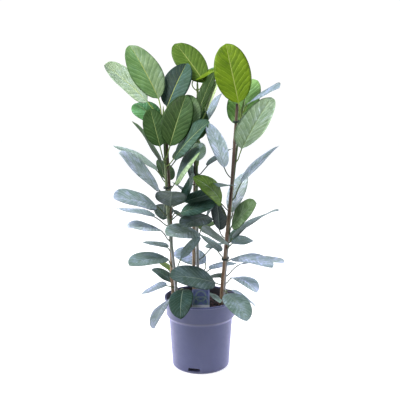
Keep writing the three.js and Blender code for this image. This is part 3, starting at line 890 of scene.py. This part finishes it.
# The line of a leaf that has no CAD node, from where it springs and how it is held.
def freeLeafLine(side, height, petiole, blade, roll, droop=14):
    rings = stemRings[side]
    foot = centreAt(rings, height / 1000)
    outward = direction(petiole[0], 0)
    base = foot + direction(petiole[0], petiole[1]) * (petiole[2] / 1000)
    along = direction(blade[0], blade[1])
    level = direction(blade[0] + 90, 0)
    turn = Matrix.Rotation(math.radians(roll), 3, along)
    across, normal = turn @ level, turn @ along.cross(level)
    length = blade[2] / 1000
    arch = length * math.tan(math.radians(droop) / 2) / 2
    line = [base + along * (length * t) + normal * (arch * 2 * t * (1 - t)) for t in pathKnots]
    start = foot + outward * (radiusAt(rings, height / 1000) - 0.0005)
    entry = (line[1] - line[0]).normalized()
    reach = (base - start).length
    bend = [start, start + outward * min(0.007, reach * 0.35), base - entry * (reach * 0.35), base]

    def bezier(t):
        return (bend[0] * (1 - t) ** 3 + bend[1] * 3 * t * (1 - t) ** 2
                + bend[2] * 3 * t * t * (1 - t) + bend[3] * t ** 3)

    return {"petiole": [bezier(t) for t in petioleKnots], "blade": line, "side": across,
            "half": length * 0.285, "fold": flatFold, "sides": [across] * 6}


def growLeaf(name, line, look, variant, master, places, corners):
    s = leafShape
    petiole, blade, half = line["petiole"], line["blade"], line["half"]
    draw = random.Random(variant)
    stretch = sum((b - a).length for a, b in zip(blade, blade[1:])) / s["usualLength"]
    wavePhase, waveSize = draw.uniform(0, 6), s["wave"] * draw.uniform(0.5, 1.3) * stretch
    skew = draw.uniform(-0.05, 0.05)
    tipTurn = draw.uniform(-0.02, 0.02)
    # t runs from -1 at the petiole's foot through 0 at the blade's base to 1 at the tip
    frames = []
    total = s["petioleRings"] + s["bladeRings"]
    for ring in range(total):
        if ring < s["petioleRings"]:
            t = ring / s["petioleRings"] - 1
            centre = throughKnots(petioleKnots, petiole, 1 + t)
        else:
            u = (ring - s["petioleRings"]) / (s["bladeRings"] - 1)
            t = lerp(u, math.sin(u * math.pi / 2), 0.25)
            centre = throughKnots(pathKnots, blade, t)
        frames.append([t, centre])
    inward = (petiole[0] - petiole[1]).normalized() * 0.0022
    frames[0][1] = frames[0][1] + inward
    tangents = []
    for i in range(total):
        a, b = frames[max(i - 1, 0)][1], frames[min(i + 1, total - 1)][1]
        tangents.append((b - a).normalized())
    across = line["side"].copy()
    sides = [None] * total
    for i in reversed(range(total)):
        t = frames[i][0]
        if t > 0:
            at = max(sideKnots[0], min(sideKnots[-1], t))
            across = throughKnots(sideKnots, line["sides"], at)
        across = (across - tangents[i] * across.dot(tangents[i])).normalized()
        sides[i] = across
    count = s["around"]
    coordinates, mapPoints = [], []
    for ring, k in places:
        t, centre = frames[ring]
        side = sides[ring]
        up = tangents[ring].cross(side).normalized()
        angle = 2 * math.pi * k / count
        # q runs from 1 at one edge to -1 at the other, over the upper side and back under it
        fromLeft = k / (count / 2)
        upper = fromLeft <= 1
        q = 1 - 2 * fromLeft if upper else 2 * fromLeft - 3
        share = math.copysign(abs(q) ** s["crowding"], q)
        out = abs(share)
        flatness = smoothStep(-0.015, 0.04, t)
        swell = 1 + 0.12 * smoothStep(-0.25, 0, t)
        thin = s["petioleRadius"] * lerp(1.25, 1.0, smoothStep(-1, -0.8, t)) * swell
        width = thin
        if t > -0.02:
            width = half * max(0.0, throughKnots(bladeKnots, bladeWidths, max(0, t)))
        width = max(width, thin * (1 - smoothStep(0.9, 1, t)) * 0.6)
        x = share * width
        # fold, wavy margin, panels puckered between the side veins, and the tip's droop
        lift = line["fold"] * abs(x) * (1 - 0.35 * out)
        wave = math.sin(wavePhase + 7.5 * t + (2.2 if share > 0 else 0))
        lift += waveSize * out ** 2 * wave * smoothStep(0.05, 0.3, t)
        phase = (t - 0.34 * out + 0.07 * out * out) * veinPairs + (0.45 if share > 0 else 0) + 0.5
        ridge = 1 - abs((phase % 1) - 0.5) * 2
        puff = s["pucker"] * (1 - (1 - ridge) ** 2 - 0.5) * smoothStep(0.02, 0.2, out)
        puff *= 1 - smoothStep(0.8, 1, out)
        lift += puff * smoothStep(0, 0.12, t) * (1 - smoothStep(0.9, 1, t))
        lift -= s["tipDrop"] * smoothStep(0.9, 1.0, t) ** 2 * stretch
        skin = s["thickness"] / 2 * (1 - 0.55 * out ** 4)
        rib = math.exp(-(x / s["keelWidth"]) ** 2)
        if upper:
            z = lift + skin - s["groove"] * rib * (1 - t * 0.6)
        else:
            z = lift - skin - s["keel"] * rib * (1 - 0.8 * max(0, t))
        x += skew * half * out ** 2 * 0.4
        px = lerp(thin * math.cos(angle), x, flatness)
        pz = lerp(thin * math.sin(angle), z, flatness)
        coordinates.append(centre + side * (px + tipTurn * max(0, t - 0.6) * half) + up * pz)
        alongMap = (t * (-leafMapStart if t < 0 else 1) - leafMapStart) / (1 - leafMapStart)
        mapPoints.append((alongMap, (share + 1) / 2))
    mesh = master.data.copy()
    for vertex, place in zip(mesh.vertices, coordinates):
        vertex.co = place
    leaf = bpy.data.objects.new(name, mesh)
    scene.collection.objects.link(leaf)
    tint = mesh.color_attributes.new("leafTint", "FLOAT_COLOR", "CORNER")
    above, below = shades[look[0]], shades[look[1]]
    # the third shade, where given, is painted shade on the left half of the upper side
    left = shades[look[2]] if len(look) > 2 else above
    colours, maps = [], []
    for vertex, isUpper in corners:
        u, v = mapPoints[vertex]
        share = smoothStep(0.47, 0.53, v)
        colour = [lerp(a, b, share) for a, b in zip(above, left)] if isUpper else below
        colours += [*colour, 1]
        maps += [u, v]
    tint.data.foreach_set("color", colours)
    mesh.uv_layers.new(name="leafMap").data.foreach_set("uv", maps)
    mesh.shade_smooth()
    return leaf


# Leaf colours by name. They are rounded values typed to bring each leaf's median colour towards
# the median that a scratch program measured on the photo.
# Some shades also hold painted light and shade: frost and pearl are paler to paint light onto a backlit leaf
# and a shadowed one, and navy is darker to paint in shade.
shades = {
    "lime": (0.18, 0.29, 0.01), "grass": (0.105, 0.19, 0.022), "olive": (0.05, 0.1, 0.015),
    "moss": (0.045, 0.1, 0.025), "bottle": (0.032, 0.07, 0.014), "fern": (0.085, 0.155, 0.06),
    "meadow": (0.17, 0.31, 0.1), "sage": (0.2, 0.32, 0.14), "celery": (0.29, 0.41, 0.2),
    "cream": (0.33, 0.43, 0.25), "pale": (0.41, 0.56, 0.31), "mint": (0.1, 0.25, 0.09),
    "teal": (0.06, 0.13, 0.09), "pine": (0.045, 0.095, 0.06), "forest": (0.03, 0.07, 0.045),
    "deep": (0.02, 0.048, 0.036), "navy": (0.012, 0.028, 0.022), "harbour": (0.055, 0.085, 0.085),
    "slate": (0.08, 0.125, 0.11), "grey": (0.09, 0.13, 0.11), "ash": (0.12, 0.155, 0.13),
    "dove": (0.18, 0.25, 0.23), "dusk": (0.19, 0.23, 0.28), "haze": (0.3, 0.39, 0.35),
    "lilac": (0.28, 0.35, 0.4), "mist": (0.34, 0.41, 0.48), "silver": (0.44, 0.52, 0.56),
    "frost": (0.75, 0.83, 0.85), "spring": (0.32, 0.56, 0.17), "laurel": (0.16, 0.25, 0.11),
    "pearl": (0.62, 0.76, 0.6), "mellow": (0.62, 0.74, 0.36), "plume": (0.23, 0.28, 0.32),
    "storm": (0.145, 0.175, 0.2),
}

# upper shade, under shade, and a third, darker one for the left half where it differs: painted shade on that
# half of the blade
cadLooks = {
    "left": ["storm storm", "deep sage", "plume dove", "dove dove", "dove sage", "silver lilac",
             "lilac silver", "teal teal", "mist dove", "ash ash", "silver celery", "celery dove slate",
             "haze sage", "moss fern", "pine mint", "moss sage", "moss sage bottle", "mint sage",
             "teal pine deep", "cream cream", "celery celery meadow"],
    "middle": ["mist lilac", "haze mint", "grey slate", "forest teal", "pearl pearl", "laurel sage",
               "bottle sage", "mellow mellow", "grass sage"],
    "right": ["dove dove", "silver silver", "slate teal", "silver mist", "mist dove", "ash dove",
              "dove dove", "navy navy", "laurel fern", "frost frost", "grass olive", "mist sage",
              "silver silver", "sage pale", "spring spring", "lime grass", "lilac sage"],
}
# blades that are slimmer than the space kept for them
slimBlades = {"leaf_middle_07": 0.72}

# Stem, height in mm, petiole and blade as heading, rise, length in mm, roll, shades. All but the
# last four rows are the output of a scratch program that was given points picked on the photo by
# eye, with guessed depths and lengths. report.md says so under "Open failure".
freeLeaves = [
    ("middle", 796, (40, 43, 28), (66, 28, 95), -15, "mint pale"),
    ("middle", 681, (334, 42, 40), (64, 41, 115), -35, "silver lilac"),
    ("left", 577, (339, 44, 43), (58, 20, 120), -10, "celery haze"),
    ("middle", 554, (6, 42, 41), (41, 24, 105), -15, "slate dove"),
    ("right", 523, (248, 35, 26), (250, 8, 100), -5, "slate dove"),
    ("right", 370, (46, 2, 14), (60, 18, 115), -25, "teal dove"),
    ("right", 358, (34, 20, 19), (58, -3, 105), 15, "dove lilac"),
    ("right", 323, (156, 36, 30), (114, 13, 110), 25, "dove lilac"),
    ("middle", 305, (8, 40, 50), (70, -4, 105), -10, "dove lilac"),
    ("middle", 253, (8, 31, 42), (42, 0, 105), -5, "lilac dove"),
    ("right", 249, (105, 12, 37), (112, -13, 90), -10, "forest slate"),
    ("right", 222, (58, -8, 48), (15, -37, 100), 5, "lilac dove"),
    ("left", 235, (111, 28, 21), (134, 16, 95), 5, "slate lilac"),
    ("left", 270, (130, 23, 31), (114, 5, 90), 25, "lime grass"),
    ("left", 457, (111, 32, 34), (97, -38, 100), 10, "navy forest"),
    ("left", 341, (144, 32, 20), (141, 1, 100), 5, "dove lilac"),
    ("left", 540, (96, 10, 25), (96, 23, 110), 30, "moss olive"),
    ("middle", 472, (192, 44, 41), (114, 10, 100), 30, "slate teal"),
    ("middle", 522, (228, 43, 40), (92, 23, 105), 60, "forest teal"),
    ("left", 431, (352, 54, 29), (63, -24, 80), 35, "forest slate"),
    ("middle", 374, (42, 53, 24), (68, 4, 90), 0, "olive sage"),
    ("right", 460, (152, 30, 49), (115, -37, 90), -60, "slate teal"),
    ("middle", 629, (290, 62, 34), (126, 74, 116), -28, "fern moss"),
    ("left", 470, (355, 20, 50), (15, 12, 110), 20, "forest slate"),
    ("middle", 795, (200, 62, 30), (8, 25, 78), 15, "lime grass"),
    ("middle", 209, (310, 8, 58), (298, -14, 54), -15, "haze lilac"),
]


def slotOfLeaf(height):
    if height > 0.70:
        return "youngLeaf", "young_leaf"
    return ("greenLeaf", "green_leaf") if height > 0.58 else ("maturedLeaf", "matured_leaf")


master = makeMasterLeaf()
masterParts = (master, masterPlaces(master), masterCorners(master))
leafFeet = {side: [] for side in shootSides}


def plantLeaf(name, side, line, height, look, *nodes):
    variant = sum(len(feet) for feet in leafFeet.values())
    leafFeet[side].append(height)
    paint, slot = slotOfLeaf(height)
    leaf = growLeaf(name, line, look.split(), variant, *masterParts)
    dress(leaf, name, slot, leafMaterials[paint], *nodes)


for side in shootSides:
    for i, look in enumerate(cadLooks[side]):
        node = f"leaf_{side}_{i + 1:02d}"
        line = leafLine(node)
        line["half"] *= slimBlades.get(node, 1)
        plantLeaf(f"{node}_grown", side, line, line["petiole"][0].z, look, node)
for i, (side, height, petiole, blade, roll, look) in enumerate(freeLeaves):
    line = freeLeafLine(side, height, petiole, blade, roll)
    plantLeaf(f"leaf_{side}_extra_{i + 1:02d}", side, line, height / 1000, look)
discard(master)
print("leaves grown:", sum(len(feet) for feet in leafFeet.values()))

for side in shootSides:
    makeCane(side)
    makeStem(side, leafFeet[side])
print("canes and stems swept")


# ---- ties: the CAD loops with softened edges

for tie in ("tie_left", "tie_middle", "tie_right_1", "tie_right_2"):
    piece = mergedCopy(tie)
    softenEdges(piece, 0.0006, 3, 60)
    dress(piece, f"{tie}_strap", "tie_plastic", tieMaterial, tie)


# ---- label

labelLow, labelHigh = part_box("plant_label")
labelFace = {"height": 0.052, "clearHalfWidth": 0.027, "clearBack": 0.012, "clearDepth": 0.006}
faceCentre = (labelLow + labelHigh) / 2
faceCentre.z = labelHigh.z - labelFace["height"] / 2
faceSize = Vector((labelHigh.x - labelLow.x, 1, labelFace["height"]))
label = mergedCopy("plant_label")
softenEdges(label, 0.0003, 2, 40)
dress(label, "plant_label_tag", "label_plastic", makeLabelMaterial(faceCentre, faceSize), "plant_label")


# ---- soil: the CAD root ball with crumbs and bark chips on top

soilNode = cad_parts["soil"]
soilNode.data.materials.clear()
soilNode.data.materials.append(peatMaterial)
soilLow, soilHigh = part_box("soil")
crumbs = {"count": 1900, "chips": 260, "small": (0.0012, 0.0036), "chip": (0.0025, 0.0062),
          "reach": 0.092, "seed": 5}


def surfaceHeight(x, y):
    edge = soilHigh.z - soilEdgeDrop
    share = min(1, math.hypot(x, y) / soilHigh.x)
    inner = 0.6
    if share < inner:
        return lerp(soilHigh.z, edge + 0.003, share / inner)
    return lerp(edge + 0.003, edge, (share - inner) / (1 - inner))


def clearOfRods(x, y, room):
    for side in shootSides:
        for rings in (caneRings[side], stemRings[side]):
            centre = centreAt(rings, soilHigh.z)
            if math.hypot(x - centre.x, y - centre.y) < radiusAt(rings, soilHigh.z) + room:
                return False
    return True


def scatterLumps(name, count, sizes, flatten, material, draw):
    deselectAll()
    bpy.ops.mesh.primitive_ico_sphere_add(subdivisions=1, radius=1)
    seedLump = bpy.context.active_object
    shapes = [[v.co * draw.uniform(0.65, 1.25) for v in seedLump.data.vertices] for _ in range(6)]
    faces = [tuple(p.vertices) for p in seedLump.data.polygons]
    discard(seedLump)
    points, polygons = [], []
    while count > 0:
        angle, share = draw.uniform(0, 2 * math.pi), math.sqrt(draw.random())
        size = draw.uniform(*sizes)
        reach = crumbs["reach"] + 0.004 - size * 1.6
        x, y = reach * share * math.cos(angle), reach * share * math.sin(angle)
        if not clearOfRods(x, y, size * 1.2):
            continue
        behind = abs(y - labelLow.y - labelFace["clearBack"])
        if abs(x) < labelFace["clearHalfWidth"] + size and behind < labelFace["clearDepth"] + size:
            continue
        spin = Matrix.Rotation(draw.uniform(0, 6.3), 3, "Z")
        turn = spin @ Matrix.Rotation(draw.uniform(-0.5, 0.5), 3, "X")
        stretch = Matrix.Diagonal((draw.uniform(1, 1.8), draw.uniform(0.7, 1), flatten))
        centre = Vector((x, y, surfaceHeight(x, y) + size * flatten * draw.uniform(0.1, 0.6)))
        start = len(points)
        for co in draw.choice(shapes):
            points.append(centre + turn @ (stretch @ (co * size)))
        polygons += [tuple(start + i for i in face) for face in faces]
        count -= 1
    piece = meshFrom(name, points, polygons)
    smoothShade(piece, 30)
    return dress(piece, name, "potting_soil", material)


draw = random.Random(crumbs["seed"])
scatterLumps("soil_crumbs", crumbs["count"], crumbs["small"], 0.75, peatMaterial, draw)
scatterLumps("soil_bark_chips", crumbs["chips"], crumbs["chip"], 0.4, chipMaterial, draw)
print("soil dressed")


# ---- floor, light and camera

def makeStage():
    deselectAll()
    bpy.ops.mesh.primitive_plane_add(size=1, location=(0, 2.7, 0), scale=(1, 1, 1))
    floor = bpy.context.active_object
    floor.scale = (8, 6.6, 1)
    applyPlace(floor)
    floor.name = "studio_floor"
    material, tree, shader = startMaterial("paleFloor", 0.75)
    shade = noiseOf(tree, objectPlace(tree), 1.5, 2)
    pale = mixColour(tree, shade, (0.86, 0.86, 0.87), (0.9, 0.9, 0.91))
    put(tree, shader, "Base Color", pale)
    put(tree, shader, "Emission Color", pale)
    shader.inputs["Emission Strength"].default_value = 0.55
    floor.data.materials.append(material)


def addSoftLight(name, place, aim, size, power, colour):
    data = bpy.data.lights.new(name, "AREA")
    data.shape, data.size, data.size_y = "RECTANGLE", size[0], size[1]
    data.energy, data.color = power, colour
    lamp = bpy.data.objects.new(name, data)
    lamp.location = place
    lamp.rotation_euler = (Vector(aim) - Vector(place)).to_track_quat("-Z", "Y").to_euler()
    scene.collection.objects.link(lamp)


makeStage()


# Air that is bright behind and above the plant and dimmer on the side it is seen from.
air = {"tint": (0.9, 0.94, 1.0), "front": 0.2, "sides": 0.55, "back": 1.0, "top": 0.65, "seen": 1.05}


def makeAir():
    world = bpy.data.worlds.new("studioAir")
    scene.world = world
    world.use_nodes = True
    tree = world.node_tree
    background = tree.nodes["Background"]
    heading = addNode(tree, "ShaderNodeTexCoord").outputs["Generated"]
    parts = splitOf(tree, heading)
    around = stepBetween(tree, parts[1], -0.9, 0.1, air["front"], air["sides"])
    around = calc(tree, "ADD", around, stepBetween(tree, parts[1], 0.1, 0.9, 0.0, air["back"] - air["sides"]))
    up = stepBetween(tree, parts[2], 0.2, 0.9)
    mixed = calc(tree, "MULTIPLY_ADD", calc(tree, "SUBTRACT", air["top"], around), up, around)
    seen = addNode(tree, "ShaderNodeLightPath").outputs["Is Camera Ray"]
    strength = calc(tree, "MULTIPLY_ADD", calc(tree, "SUBTRACT", air["seen"], mixed), seen, mixed)
    put(tree, background, "Color", mixColour(tree, seen, air["tint"], (1, 1, 1)))
    put(tree, background, "Strength", strength)


makeAir()
addSoftLight("overheadSoftbox", (-0.9, -0.9, 2.2), (0, 0, 0.5), (0.8, 0.8), 42, (1, 0.99, 0.95))
addSoftLight("leftSoftbox", (-1.8, 0.4, 1.0), (0, 0, 0.45), (0.7, 1.6), 42, (0.95, 0.96, 1))
addSoftLight("rightSoftbox", (1.8, 0.4, 1.0), (0, 0, 0.45), (0.7, 1.6), 30, (0.95, 0.96, 1))

# Place and pitch are the output of a least-squares fit to the pot's rim and base.
cameraView = {"place": (-0.00217, -2.0717, 0.8883), "pitch": 0.1898, "lens": 67.14}
cameraData = bpy.data.cameras.new("studioCamera")
cameraData.lens, cameraData.sensor_width = cameraView["lens"], 36
camera = bpy.data.objects.new("studioCamera", cameraData)
camera.location = cameraView["place"]
camera.rotation_euler = (math.pi / 2 - cameraView["pitch"], 0, 0)
scene.collection.objects.link(camera)
scene.camera = camera
scene.view_settings.view_transform = "Standard"

print("scene ready")
